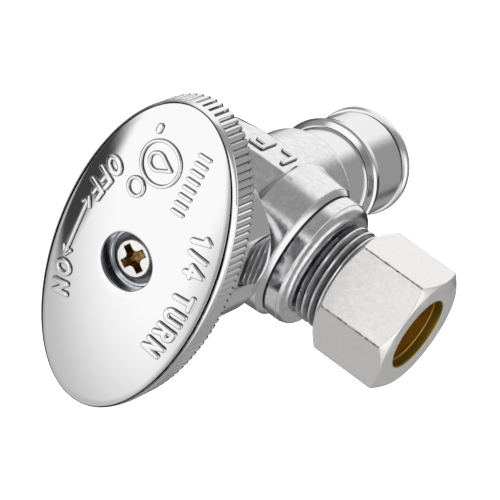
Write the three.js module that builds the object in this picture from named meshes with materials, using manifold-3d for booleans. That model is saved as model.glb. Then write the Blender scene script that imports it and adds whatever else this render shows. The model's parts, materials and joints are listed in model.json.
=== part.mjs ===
// Quarter-turn angle stop valve, closed, as an assembly of separate pieces.
// Millimetres, +Z up along the outlet. The stem axis is Y: the handle faces -Y, the pipe comes from +Y.
// Inside the group named `valve` the two axes cross at the origin; the group is then moved so that the
// whole part's origin is the centre of the inlet opening.
import * as THREE from "three";
import { mergeVertices } from "three/addons/utils/BufferGeometryUtils.js";
import Module from "manifold-3d";

// ---- driving dimensions -------------------------------------------------------------------------
const GAP = 0.3; // clearance between pieces that seat on each other
const ROUND = 36; // facets round a large diameter
const ROUND_SMALL = 24; // facets round a small diameter

// forged body
const FLAT = 9.6; // from the outlet axis to a wrench flat
const FLAT_HALF_WIDTH = 3.1; // half the width of a wrench flat
const BODY_BACK = -9.5; // closed end, opposite the outlet
const FLATS_END = 4.3; // where the wrench flats meet the round tower
const TOWER_RADIUS = 10.1;
const TOWER_TIP_RADIUS = 9.75;
const TOWER_END = 10.2;
const GROOVE_RADIUS = 8.6;
const COLLAR_RADIUS = 9.1;
const COLLAR_START = 10.8;
const COLLAR_END = 12.5;
const NOSE_START = 14.1; // first full thread of the outlet
const NOSE_END = 23.4;
const NOSE_RADIUS = 7.14; // 9/16-24 compression thread, crest
const BOSS_RADIUS = 8.3; // round boss that the inlet tailpiece screws into
const BOSS_END = 13.5;
const BARREL_SEAT = 13.2; // floor of the counterbore that the barrel's shoulder sits in
const NECK_RADIUS = 5.1; // bonnet neck under the handle
const NECK_END = -15.4;

// waterway
const BALL_RADIUS = 6.35;
const PORT_RADIUS = 3.3; // bore of the ball
const CAVITY_RADIUS = 6.75;
const CAVITY_FRONT = -7.6;
const SEAT_BORE = 3.5;
const OUTLET_POCKET_RADIUS = 4.9;
const OUTLET_POCKET_END = 9.2;
const OUTLET_BORE = 3.4;
const TUBE_RADIUS = 4.9; // slides over a 9.5 mm riser tube
const TUBE_STOP = 13.5;

// inlet tailpiece
const INLET_END = 30.5;
const INLET_BORE = 4.6;
const TAIL_START = 8.6;
const TAIL_RADIUS = 6.45;
const BARREL_RADIUS = 7.0;
const RIDGE_RADIUS = 8.0;
const RIDGE_CENTRE = 21.4;
const TIP_BARREL_RADIUS = 7.25;
const LIP_RADIUS = 7.65;
const LIP_START = 28.8;

// stem and packing
const STEM_RADIUS = 2.9;
const STEM_COLLAR_RADIUS = 4.0;
const STEM_TOP = -22.0;
const STEM_SQUARE = 4.4; // across the flats of the square that drives the handle
const PACKING_BORE = 4.1;
const PACKING_NUT_FLATS = 13.0;
const STOP_POST_RADIUS = 1.0; // cast post that limits the quarter turn
const STOP_POST_OFFSET = 8.4;

// handle
const HANDLE_LENGTH = 44.6; // long way of the oval, across the outlet when closed
const HANDLE_WIDTH = 23.8;
const RIM_BACK = -21.5;
const RIM_FRONT = -25.4;
const DOME_EDGE = -26.2;
const DOME_TOP = -28.1;
const DOME_INSET = [0.2, 0.63]; // dome edge inside the rim, long way and short way
const SKIRT_RADIUS = 11.05;
const SKIRT_BORE = 9.6;
const SKIRT_END = -11.8;
const HUB_RADIUS = 5.2;
const HUB_END = -17.6;
const RECESS_RADIUS = 3.75;
const RECESS_FLOOR = -23.6;
const STOP_ANGLE = 13.8; // degrees between a handle lug and the post when they meet

// handle screw
const SCREW_HEAD_RADIUS = 2.75;
const SCREW_HEAD_TOP = -26.4;
const SCREW_HEAD_BASE = -24.8;
const SCREW_RADIUS = 1.4;
const SCREW_END = -15.2;

// compression nut and ferrule
const NUT_FLATS = 15.9;
const NUT_BACK = 17.7;
const NUT_FRONT = 28.6;
const NUT_TURNED = 28; // degrees from a nut corner to the nearest X or Y direction
const NUT_BORE = NOSE_RADIUS + GAP;

// ---- solids -------------------------------------------------------------------------------------
const wasm = await Module();
wasm.setup();

// A closed mesh as a solid: positions only, shared vertices merged, collapsed triangles dropped.
function toSolid(geometry) {
  const bare = geometry.clone();
  bare.deleteAttribute("normal");
  bare.deleteAttribute("uv");
  const merged = mergeVertices(bare, 1e-4);
  const triangles = [];
  for (let i = 0; i < merged.index.count; i += 3) {
    const [a, b, c] = [0, 1, 2].map((k) => merged.index.getX(i + k));
    if (a !== b && b !== c && a !== c) triangles.push(a, b, c);
  }
  const vertProperties = new Float32Array(merged.attributes.position.array);
  const triVerts = new Uint32Array(triangles);
  return new wasm.Manifold(new wasm.Mesh({ numProp: 3, vertProperties, triVerts }));
}

function toGeometry(solid) {
  const mesh = solid.getMesh();
  const geometry = new THREE.BufferGeometry();
  geometry.setAttribute("position", new THREE.BufferAttribute(mesh.vertProperties, 3));
  geometry.setIndex(new THREE.BufferAttribute(mesh.triVerts, 1));
  geometry.computeVertexNormals();
  return geometry;
}

// A turned shape about Y from [radius, station] points. Either way round; closed on itself or on the axis.
function turned(profile, facets = ROUND) {
  const points = profile.map(([radius, station]) => new THREE.Vector2(radius, station));
  const touchesAxis = points[0].x === 0 && points[points.length - 1].x === 0;
  if (!touchesAxis) points.push(points[0].clone());
  if (THREE.ShapeUtils.area(points) < 0) points.reverse();
  return toSolid(new THREE.LatheGeometry(points, facets));
}

// The same, about Z.
const turnedZ = (profile, facets = ROUND) => turned(profile, facets).rotate([90, 0, 0]);

const rod = (radius, from, to, facets = ROUND) =>
  turned([[0, from], [radius, from], [radius, to], [0, to]], facets);

const rodZ = (radius, from, to, facets = ROUND) => rod(radius, from, to, facets).rotate([90, 0, 0]);

const ring = (inner, outer, from, to, facets = ROUND) =>
  turned([[inner, from], [outer, from], [outer, to], [inner, to]], facets);

// An O-ring about Y.
function oRing(radius, station, section) {
  const profile = [];
  for (let i = 0; i < 6; i += 1) {
    const angle = (i * Math.PI) / 3;
    profile.push([radius + section * Math.cos(angle), station + section * Math.sin(angle)]);
  }
  return turned(profile, ROUND_SMALL);
}

// A block given by its lowest and highest corners.
function block(low, high) {
  const size = high.map((value, i) => value - low[i]);
  const geometry = new THREE.BoxGeometry(...size);
  geometry.translate(...low.map((value, i) => value + size[i] / 2));
  return toSolid(geometry);
}

// A flat outline of [x, y] points, extruded along Z.
function prismZ(outline, from, to) {
  const shape = new THREE.Shape(outline.map(([x, y]) => new THREE.Vector2(x, y)));
  const geometry = new THREE.ExtrudeGeometry(shape, { depth: to - from, bevelEnabled: false });
  geometry.translate(0, 0, from);
  return toSolid(geometry);
}

// A hexagon's corners. `turn` is the direction of its first corner in degrees.
function hexagon(acrossFlats, turn) {
  const corner = acrossFlats / Math.sqrt(3);
  return [0, 1, 2, 3, 4, 5].map((i) => {
    const angle = THREE.MathUtils.degToRad(turn + i * 60);
    return [corner * Math.cos(angle), corner * Math.sin(angle)];
  });
}

// A closed skin over ellipses across Y, from front to back, each [half length, half width, station].
function ellipticLoft(sections, facets) {
  const positions = [];
  for (const [halfLength, halfWidth, station] of sections) {
    for (let i = 0; i < facets; i += 1) {
      const angle = (i / facets) * Math.PI * 2;
      positions.push(halfLength * Math.cos(angle), station, halfWidth * Math.sin(angle));
    }
  }
  positions.push(0, sections[0][2], 0, 0, sections.at(-1)[2], 0);
  const frontCentre = sections.length * facets;
  const lastRing = (sections.length - 1) * facets;
  const index = [];
  for (let i = 0; i < facets; i += 1) {
    const next = (i + 1) % facets;
    for (let base = 0; base < lastRing; base += facets) {
      index.push(base + i, base + facets + i, base + next);
      index.push(base + next, base + facets + i, base + facets + next);
    }
    index.push(frontCentre, i, next);
    index.push(frontCentre + 1, lastRing + next, lastRing + i);
  }
  const geometry = new THREE.BufferGeometry();
  geometry.setAttribute("position", new THREE.Float32BufferAttribute(positions, 3));
  geometry.setIndex(index);
  return toSolid(geometry);
}

// ---- forged body --------------------------------------------------------------------------------
function bodyForging() {
  const octagon = [
    [FLAT, -FLAT_HALF_WIDTH], [FLAT, FLAT_HALF_WIDTH],
    [FLAT_HALF_WIDTH, FLAT], [-FLAT_HALF_WIDTH, FLAT],
    [-FLAT, FLAT_HALF_WIDTH], [-FLAT, -FLAT_HALF_WIDTH],
    [-FLAT_HALF_WIDTH, -FLAT], [FLAT_HALF_WIDTH, -FLAT],
  ];
  const crowned = turnedZ([
    [0, BODY_BACK], [7.9, BODY_BACK], [8.7, BODY_BACK + 0.4], [9.15, BODY_BACK + 1.6],
    [9.63, BODY_BACK + 4.1], [9.95, BODY_BACK + 7], [TOWER_RADIUS, 0],
    [TOWER_RADIUS, FLATS_END], [0, FLATS_END],
  ], 48);
  const tower = turnedZ([
    [0, BODY_BACK + 1], [8.6, BODY_BACK + 1], [8.6, FLATS_END - 1.5], [TOWER_RADIUS, FLATS_END],
    [TOWER_TIP_RADIUS, TOWER_END - 0.5], [TOWER_TIP_RADIUS - 0.55, TOWER_END],
    [GROOVE_RADIUS, TOWER_END], [GROOVE_RADIUS, COLLAR_START],
    [COLLAR_RADIUS, COLLAR_START], [COLLAR_RADIUS, COLLAR_END],
    [NOSE_RADIUS + 0.2, NOSE_START], [NOSE_RADIUS, NOSE_START + 0.2],
    [NOSE_RADIUS, NOSE_END - 0.5], [NOSE_RADIUS - 0.5, NOSE_END], [0, NOSE_END],
  ], 48);
  const boss = turned([
    [0, 0], [BOSS_RADIUS, 0], [BOSS_RADIUS, BOSS_END - 0.3], [BOSS_RADIUS - 0.3, BOSS_END], [0, BOSS_END],
  ]);
  const neck = rod(NECK_RADIUS, NECK_END, 0, 32);
  const stopPost = rod(STOP_POST_RADIUS, -13.6, -9, 12).translate([0, 0, STOP_POST_OFFSET]);
  return prismZ(octagon, BODY_BACK, FLATS_END).intersect(crowned)
    .add(tower).add(boss).add(neck).add(stopPost);
}

function bodyCavities() {
  const ballChamber = rod(CAVITY_RADIUS, CAVITY_FRONT, BOSS_END + 1);
  const barrelSeat = rod(BARREL_RADIUS + GAP, BARREL_SEAT, BOSS_END + 1, 48);
  const collarPocket = rod(STEM_COLLAR_RADIUS + GAP, -9.6, CAVITY_FRONT + 0.1, ROUND_SMALL);
  const stemBore = rod(STEM_RADIUS + GAP, -11, -9.5, ROUND_SMALL);
  const packingBore = rod(PACKING_BORE, NECK_END - 1, -10.8, ROUND_SMALL);
  const outletPocket = rodZ(OUTLET_POCKET_RADIUS, 0, OUTLET_POCKET_END, 32);
  const waterway = rodZ(OUTLET_BORE, 0, TUBE_STOP + 0.1, ROUND_SMALL);
  const tubeSocket = turnedZ([
    [0, TUBE_STOP], [TUBE_RADIUS, TUBE_STOP], [TUBE_RADIUS, NOSE_END - 1.8],
    [TUBE_RADIUS + 1.2, NOSE_END], [TUBE_RADIUS + 1.2, NOSE_END + 1], [0, NOSE_END + 1],
  ], 32);
  return ballChamber.add(barrelSeat).add(collarPocket).add(stemBore).add(packingBore)
    .add(outletPocket).add(waterway).add(tubeSocket);
}

const valveBody = () => bodyForging().subtract(bodyCavities());

// ---- inlet tailpiece ----------------------------------------------------------------------------
function inletBarb() {
  const ridge = [];
  for (let i = 0; i <= 6; i += 1) {
    const angle = (i / 6) * Math.PI;
    const base = THREE.MathUtils.lerp(BARREL_RADIUS, TIP_BARREL_RADIUS, i / 6);
    ridge.push([base + (RIDGE_RADIUS - base) * Math.sin(angle), RIDGE_CENTRE - 1.35 * Math.cos(angle)]);
  }
  return turned([
    [INLET_BORE, TAIL_START], [TAIL_RADIUS, TAIL_START], [TAIL_RADIUS, 10.4], [5.5, 10.4], [5.5, 12.2],
    [TAIL_RADIUS, 12.2], [TAIL_RADIUS, BARREL_SEAT + GAP], [BARREL_RADIUS, BARREL_SEAT + GAP],
    ...ridge,
    [TIP_BARREL_RADIUS, LIP_START - 0.2], [TIP_BARREL_RADIUS - 0.15, LIP_START],
    [LIP_RADIUS - 0.15, LIP_START + 0.3], [LIP_RADIUS, LIP_START + 0.8], [LIP_RADIUS, INLET_END - 0.4],
    [LIP_RADIUS - 0.35, INLET_END], [INLET_BORE, INLET_END],
  ], 48);
}

// ---- ball, seats and stem -----------------------------------------------------------------------
function ball() {
  const sphere = toSolid(new THREE.SphereGeometry(BALL_RADIUS, 28, 16));
  const inletPort = rod(PORT_RADIUS, 0, BALL_RADIUS + 1, ROUND_SMALL);
  const sidePort = rod(PORT_RADIUS, 0, BALL_RADIUS + 1, ROUND_SMALL).rotate([0, 0, -90]);
  const stemSlot = block([-7, -7, -1.3], [7, -4.4, 1.3]);
  return sphere.subtract(inletPort).subtract(sidePort).subtract(stemSlot);
}

// A seat ring about Y whose sloping face lies GAP off the ball. `back` is its far side.
const seatRing = (outer, back) =>
  turned([[SEAT_BORE, 5.66], [4.6, 4.8], [outer, 4.8], [outer, back], [SEAT_BORE, back]], 32);

function stem() {
  const tang = block([-2.6, -7.8, -1], [2.6, -4.7, 1]);
  const shaft = turned([
    [0, -7.7], [STEM_COLLAR_RADIUS, -7.7], [STEM_COLLAR_RADIUS, -8.5], [STEM_RADIUS, -8.5],
    [STEM_RADIUS, -17.4], [0, -17.4],
  ], ROUND_SMALL);
  const half = STEM_SQUARE / 2;
  const square = block([-half, STEM_TOP, -half], [half, -17.3, half]);
  const screwHole = rod(SCREW_RADIUS + GAP, STEM_TOP - 1, SCREW_END + 0.6, 16);
  return tang.add(shaft).add(square).subtract(screwHole);
}

function packingNut() {
  const hex = prismZ(hexagon(PACKING_NUT_FLATS, 60), 12.6, 17.2).rotate([90, 0, 0]);
  const threadBore = rod(NECK_RADIUS + GAP, -15.9, -12, ROUND_SMALL);
  return hex.subtract(threadBore).subtract(rod(STEM_RADIUS + GAP, -18, -15, ROUND_SMALL));
}

// ---- handle -------------------------------------------------------------------------------------
function handle() {
  const halfLength = HANDLE_LENGTH / 2;
  const halfWidth = HANDLE_WIDTH / 2;
  const domeLength = halfLength - DOME_INSET[0];
  const domeWidth = halfWidth - DOME_INSET[1];
  const dome = [0.2, 0.45, 0.7, 0.88, 1].map((t) => [
    domeLength * t, domeWidth * t, THREE.MathUtils.lerp(DOME_TOP, DOME_EDGE, t * t),
  ]);
  const cap = ellipticLoft([
    ...dome, [halfLength, halfWidth - 0.1, RIM_FRONT], [halfLength, halfWidth, RIM_BACK - 0.3],
    [halfLength - 0.3, halfWidth - 0.3, RIM_BACK],
  ], 72);
  const hollow = ellipticLoft([
    [halfLength - 2.2, halfWidth - 2.2, -24.4], [halfLength - 1.9, halfWidth - 1.9, RIM_BACK + 1],
  ], 48);
  const skirt = ring(SKIRT_BORE, SKIRT_RADIUS, -24.6, SKIRT_END, 48);
  const hub = rod(HUB_RADIUS, -24.6, HUB_END, 32);
  const lug = block([8, -24.6, -0.9], [9.9, -12.2, 0.9]);
  const lugs = lug.rotate([0, -(90 + STOP_ANGLE), 0]).add(lug.rotate([0, STOP_ANGLE, 0]));
  const half = STEM_SQUARE / 2 + GAP;
  const socket = block([-half, -22.3, -half], [half, HUB_END + 1, half]);
  const recess = rod(RECESS_RADIUS, DOME_TOP - 1, RECESS_FLOOR, ROUND_SMALL);
  const screwHole = rod(1.9, RECESS_FLOOR - 0.5, -22, 16);
  return cap.subtract(hollow).add(skirt).add(hub).add(lugs)
    .subtract(socket).subtract(recess).subtract(screwHole);
}

function handleScrew() {
  const screw = turned([
    [0, SCREW_HEAD_TOP], [1.6, SCREW_HEAD_TOP + 0.03], [2.3, SCREW_HEAD_TOP + 0.2],
    [SCREW_HEAD_RADIUS, SCREW_HEAD_TOP + 0.8], [SCREW_HEAD_RADIUS, SCREW_HEAD_BASE],
    [SCREW_RADIUS, SCREW_HEAD_BASE], [SCREW_RADIUS, SCREW_END - 0.4],
    [SCREW_RADIUS - 0.4, SCREW_END], [0, SCREW_END],
  ], ROUND_SMALL);
  const slot = block([-1.8, SCREW_HEAD_TOP - 1, -0.4], [1.8, SCREW_HEAD_TOP + 1.2, 0.4]);
  return screw.subtract(slot.rotate([0, 45, 0])).subtract(slot.rotate([0, -45, 0]));
}

function lockWasher() {
  const washer = ring(1.9, 2.9, -24.5, -23.9, ROUND_SMALL);
  return washer.subtract(block([1, -25, -0.25], [4, -23, 0.25]));
}

// ---- outlet fittings ----------------------------------------------------------------------------
function compressionNut() {
  const corner = NUT_FLATS / Math.sqrt(3);
  const chamfer = (corner - NUT_FLATS / 2) * Math.tan(THREE.MathUtils.degToRad(30));
  const blank = turnedZ([
    [0, NUT_BACK], [NUT_FLATS / 2, NUT_BACK], [corner, NUT_BACK + chamfer],
    [corner, NUT_FRONT - chamfer], [NUT_FLATS / 2, NUT_FRONT], [0, NUT_FRONT],
  ], 48);
  const bore = turnedZ([
    [0, NUT_BACK - 1], [NUT_BORE, NUT_BACK - 1], [NUT_BORE, 24.3], [6.6, 24.3],
    [TUBE_RADIUS, NUT_FRONT - 1.6], [TUBE_RADIUS, NUT_FRONT + 1], [0, NUT_FRONT + 1],
  ]);
  const hex = prismZ(hexagon(NUT_FLATS, NUT_TURNED), NUT_BACK, NUT_FRONT);
  return hex.intersect(blank).subtract(bore);
}

const ferrule = () => turned([
  [TUBE_RADIUS, 22.2], [5.05, 22.2], [5.95, 24.0], [5.05, 26.5], [TUBE_RADIUS, 26.5],
], 32).rotate([90, 0, 0]);

// ---- assembly -----------------------------------------------------------------------------------
const finish = {
  chrome: { color: 0xdfe1e3, roughness: 0.08, metalness: 1 },
  forged: { color: 0xc4c5c6, roughness: 0.3, metalness: 1 },
  nickel: { color: 0xcfcdc8, roughness: 0.35, metalness: 1 },
  brass: { color: 0xc79a3e, roughness: 0.3, metalness: 1 },
  steel: { color: 0xb9babb, roughness: 0.35, metalness: 1 },
  ptfe: { color: 0xf1f0ea, roughness: 0.6, metalness: 0 },
  rubber: { color: 0x1c1c1d, roughness: 0.8, metalness: 0 },
};

function piece(name, solid, look) {
  const mesh = new THREE.Mesh(toGeometry(solid), new THREE.MeshStandardMaterial(finish[look]));
  mesh.name = name;
  return mesh;
}

function group(...meshes) {
  const collected = new THREE.Group();
  collected.add(...meshes);
  return collected;
}

const bodyAssembly = group(
  piece("valve_body", valveBody(), "forged"),
  piece("inlet_barb", inletBarb(), "chrome"),
  piece("inlet_barb_oring", oRing(6.12, 11.3, 0.45), "rubber"),
);

const seats = group(
  piece("inlet_seat", seatRing(6.4, 7), "ptfe"),
  piece("inlet_seat_oring", oRing(5.2, 7.8, 0.5), "rubber"),
  piece("outlet_seat", seatRing(4.6, 7.6).rotate([90, 0, 0]), "ptfe"),
  piece("outlet_seat_oring", oRing(4.1, 8.4, 0.45).rotate([90, 0, 0]), "rubber"),
  piece("front_seat", seatRing(6.4, 7.3).rotate([180, 0, 0]), "ptfe"),
);

const PACKING_INNER = STEM_RADIUS + 0.2;
const PACKING_OUTER = PACKING_BORE - 0.2;
const packing = group(
  piece("stem_thrust_washer", ring(PACKING_INNER, STEM_COLLAR_RADIUS, -9.3, -8.8, ROUND_SMALL), "ptfe"),
  piece("packing_ring_lower", ring(PACKING_INNER, PACKING_OUTER, -12.3, -11.1, ROUND_SMALL), "ptfe"),
  piece("packing_ring_upper", ring(PACKING_INNER, PACKING_OUTER, -13.8, -12.6, ROUND_SMALL), "ptfe"),
  piece("packing_follower", ring(PACKING_INNER, PACKING_OUTER, -15.6, -14.1, ROUND_SMALL), "brass"),
  piece("packing_nut", packingNut(), "brass"),
);

const turningParts = group(
  piece("ball", ball(), "chrome"),
  piece("stem", stem(), "brass"),
  piece("handle", handle(), "chrome"),
  piece("screw_lock_washer", lockWasher(), "steel"),
  piece("handle_screw", handleScrew(), "steel"),
);

const outletFittings = group(
  piece("ferrule", ferrule(), "brass"),
  piece("compression_nut", compressionNut(), "nickel"),
);

const valve = group(bodyAssembly, seats, packing, turningParts, outletFittings);
valve.position.y = -INLET_END;

export default valve;
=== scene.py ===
# Quarter-turn angle stop valve: visual model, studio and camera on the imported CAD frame.
# Shapes are in millimetres about the point where the stem axis (Y) and the outlet axis (Z) cross.
# The handle faces -Y, the pipe comes from +Y and the compression outlet faces +Z.
import json
import math
from functools import reduce

import bmesh
import bpy
import numpy as np
from mathutils import Matrix, Vector


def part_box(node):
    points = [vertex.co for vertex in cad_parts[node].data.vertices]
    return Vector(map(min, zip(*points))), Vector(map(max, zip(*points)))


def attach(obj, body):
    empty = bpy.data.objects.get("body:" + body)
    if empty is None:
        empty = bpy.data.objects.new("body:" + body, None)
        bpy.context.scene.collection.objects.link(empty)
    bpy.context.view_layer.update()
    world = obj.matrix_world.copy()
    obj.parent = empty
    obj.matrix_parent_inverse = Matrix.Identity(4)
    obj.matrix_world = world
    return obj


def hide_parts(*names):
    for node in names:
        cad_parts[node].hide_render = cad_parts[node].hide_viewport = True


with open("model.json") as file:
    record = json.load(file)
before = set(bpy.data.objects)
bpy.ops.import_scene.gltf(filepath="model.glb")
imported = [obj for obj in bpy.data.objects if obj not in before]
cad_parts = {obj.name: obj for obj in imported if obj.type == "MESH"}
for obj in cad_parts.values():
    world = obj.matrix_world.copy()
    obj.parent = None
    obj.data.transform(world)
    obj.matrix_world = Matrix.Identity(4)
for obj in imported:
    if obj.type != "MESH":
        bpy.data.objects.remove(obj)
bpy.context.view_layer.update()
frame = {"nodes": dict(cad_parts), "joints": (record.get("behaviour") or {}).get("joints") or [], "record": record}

MM = 0.001
TURN = 2 * math.pi
WELD = 0.0008  # points closer than this are one point
joints = {joint["name"]: joint for joint in frame["joints"]}
ORIGIN = np.array(joints["handle_turn"]["pos_m"])


def local_box(node):
    """Lowest and highest corner of a CAD node in local millimetres."""
    low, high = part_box(node)
    return (np.array(low) - ORIGIN) / MM, (np.array(high) - ORIGIN) / MM


handle_low, handle_high = local_box("handle")
body_low, body_high = local_box("valve_body")
barb_low, barb_high = local_box("inlet_barb")
nut_low, nut_high = local_box("compression_nut")
ferrule_low, ferrule_high = local_box("ferrule")
screw_low, screw_high = local_box("handle_screw")


# ---- meshes ----
def add_piece(name, shell, body, material, replaces=(), sharp=35):
    """A smooth mesh object that rides on a CAD body.

    The shell is points in local millimetres, faces and sometimes normals. Without normals the
    points are welded, and edges over `sharp` degrees stay sharp.
    """
    points, faces, *normals = shell
    mesh = bpy.data.meshes.new(name)
    mesh.from_pydata((np.asarray(points) * MM + ORIGIN).tolist(), [], np.asarray(faces).tolist())
    if not normals:
        welded = bmesh.new()
        welded.from_mesh(mesh)
        bmesh.ops.remove_doubles(welded, verts=welded.verts, dist=WELD * MM)
        bmesh.ops.recalc_face_normals(welded, faces=welded.faces)
        welded.to_mesh(mesh)
        welded.free()
    mesh.polygons.foreach_set("use_smooth", [True] * len(mesh.polygons))
    mesh.materials.append(material)
    if normals:
        mesh.normals_split_custom_set_from_vertices(normals[0].tolist())
    else:
        mesh.set_sharp_from_angle(angle=math.radians(sharp))
    obj = bpy.data.objects.new(name, mesh)
    bpy.context.scene.collection.objects.link(obj)
    if not normals:
        weighted = obj.modifiers.new("weighted normals", "WEIGHTED_NORMAL")
        weighted.keep_sharp = True
    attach(obj, body)
    if replaces:
        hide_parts(*replaces)
    return obj


def finish_faces(obj, material, chosen):
    """Another finish on the faces whose middles, in local millimetres, are chosen(x, y, z)."""
    polygons = obj.data.polygons
    middles = np.empty(3 * len(polygons))
    polygons.foreach_get("center", middles)
    index = np.empty(len(polygons), np.int32)
    polygons.foreach_get("material_index", index)
    index[chosen(*((middles.reshape(-1, 3) - ORIGIN) / MM).T)] = len(obj.data.materials)
    obj.data.materials.append(material)
    polygons.foreach_set("material_index", index)


def ring_faces(rows, segments, closed):
    """Quads over a grid of rings; closed also joins the last ring to the first."""
    row = np.arange(rows if closed else rows - 1)[:, None]
    column = np.arange(segments)[None, :]
    after = (column + 1) % segments
    below = (row + 1) % rows
    corners = [row * segments + column, row * segments + after,
               below * segments + after, below * segments + column]
    return np.stack(corners, -1).reshape(-1, 4)


def join_shells(*shells):
    """One point list and one face list from several (points, faces) pairs."""
    points, faces, count = [], [], 0
    for shell_points, shell_faces in shells:
        points.append(shell_points)
        faces.append(np.asarray(shell_faces) + count)
        count += len(shell_points)
    return np.concatenate(points), np.concatenate(faces)


LONGEST_FILLET = 0.45  # share of a side that one corner may take
SHORTEST_FILLET = 0.01  # a corner with less stays a point


def rounded(profile, fillet=0.12, steps=5):
    """A closed profile of (radius, station[, fillet]) corners with each corner rounded."""
    count = len(profile)
    result = []
    for i, corner in enumerate(profile):
        here = np.array(corner[:2], float)
        size = corner[2] if len(corner) > 2 else fillet
        sides = []
        for other in (profile[i - 1], profile[(i + 1) % count]):
            step = np.array(other[:2], float) - here
            length = np.linalg.norm(step)
            sides.append((step / length, length))
        (before, before_length), (after, after_length) = sides
        opening = math.acos(max(-1.0, min(1.0, float(before @ after))))
        reach = size / math.tan(opening / 2)
        reach = min(reach, LONGEST_FILLET * before_length, LONGEST_FILLET * after_length)
        if reach < SHORTEST_FILLET:
            result.append(here)
            continue
        first, last = here + before * reach, here + after * reach
        for t in np.linspace(0, 1, steps):
            result.append((1 - t) ** 2 * first + 2 * t * (1 - t) * here + t ** 2 * last)
    return np.array(result)


def polar(radius, angle, station, axis):
    """Points at a radius and angle round the Y or Z axis."""
    across = [radius * np.cos(angle), radius * np.sin(angle)]
    along = np.broadcast_to(station, across[0].shape)
    if axis == "y":
        return np.stack([across[0], along, across[1]], -1)
    return np.stack([across[0], across[1], along], -1)


def lathe(profile, axis, segments=192, closed=True):
    """A turned surface from (radius, station) points."""
    profile = np.asarray(profile)
    angle = np.arange(segments)[None, :] * TURN / segments
    points = polar(profile[:, :1], angle, profile[:, 1:], axis)
    return points.reshape(-1, 3), ring_faces(len(profile), segments, closed)


def fillet_union(a, b, size):
    """Negative where either field is, with a fillet along the line where they meet."""
    blend = np.maximum(size - np.abs(a - b), 0) / size
    return np.minimum(a, b) - blend * blend * size / 4


def fillet_cut(a, b, size):
    """Negative where both fields are, with the edge between them rounded."""
    return -fillet_union(-a, -b, size)


PULLS = 4  # times that a net's points are pulled onto the surface
PROBE = 0.2  # distance of the slope's samples, in grid pitches
LONGEST_PULL = 0.5  # in grid pitches
LEAST_STEEPNESS = 0.04


def surface_net(field, low, high, pitch):
    """Quads where field(x, y, z) is zero (negative inside), pulled onto it, with its normals."""
    axes = [np.arange(start, stop + pitch, pitch) for start, stop in zip(low, high)]
    value = field(*np.meshgrid(*axes, indexing="ij", sparse=True))
    cells = tuple(n - 1 for n in value.shape)
    total = np.zeros(cells + (3,))
    count = np.zeros(cells)
    crossings = []
    for axis in range(3):
        near = np.moveaxis(value, axis, 0)[:-1]
        far = np.moveaxis(value, axis, 0)[1:]
        crosses = (near < 0) != (far < 0)
        share = np.where(crosses, near / np.where(crosses, near - far, 1), 0)
        crossings.append((crosses, near < 0))
        others = [a for a in range(3) if a != axis]
        moved_total = np.moveaxis(total, axis, 0)
        moved_count = np.moveaxis(count, axis, 0)
        for step in ((0, 0), (0, 1), (1, 0), (1, 1)):
            window = (slice(None),) + tuple(
                slice(s, s + cells[other]) for s, other in zip(step, others))
            hit = crosses[window]
            moved_count += hit
            moved_total[..., axis] += share[window] * hit
            for s, other in zip(step, others):
                moved_total[..., other] += s * hit
    used = count > 0
    index = np.full(cells, -1)
    index[used] = np.arange(used.sum())
    cell = np.argwhere(used)
    offset = total[used] / count[used][:, None]
    points = np.array(low, float) + (cell + offset) * pitch
    faces = []
    for axis, (crosses, inside) in enumerate(crossings):
        moved = np.moveaxis(index, axis, 0)
        core = (slice(None), slice(1, -1), slice(1, -1))
        where = np.argwhere(crosses[core])
        a, b, c = where[:, 0], where[:, 1] + 1, where[:, 2] + 1
        quad = np.stack([moved[a, b - 1, c - 1], moved[a, b, c - 1],
                         moved[a, b, c], moved[a, b - 1, c]], -1)
        flip = ~inside[core][tuple(where.T)]
        if axis == 1:
            flip = ~flip
        quad[flip] = quad[flip][:, ::-1]
        faces.append(quad)
    slope = np.zeros_like(points)
    probe = PROBE * pitch
    for _ in range(PULLS):
        for axis in range(3):
            step = np.eye(3)[axis] * probe
            ahead, behind = points + step, points - step
            slope[:, axis] = (field(*ahead.T) - field(*behind.T)) / (2 * probe)
        steepness = np.maximum((slope ** 2).sum(1), LEAST_STEEPNESS)
        move = slope * (field(*points.T) / steepness)[:, None]
        points -= np.clip(move, -LONGEST_PULL * pitch, LONGEST_PULL * pitch)
    normals = slope / np.linalg.norm(slope, axis=1)[:, None]
    return points, np.concatenate(faces), normals


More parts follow.
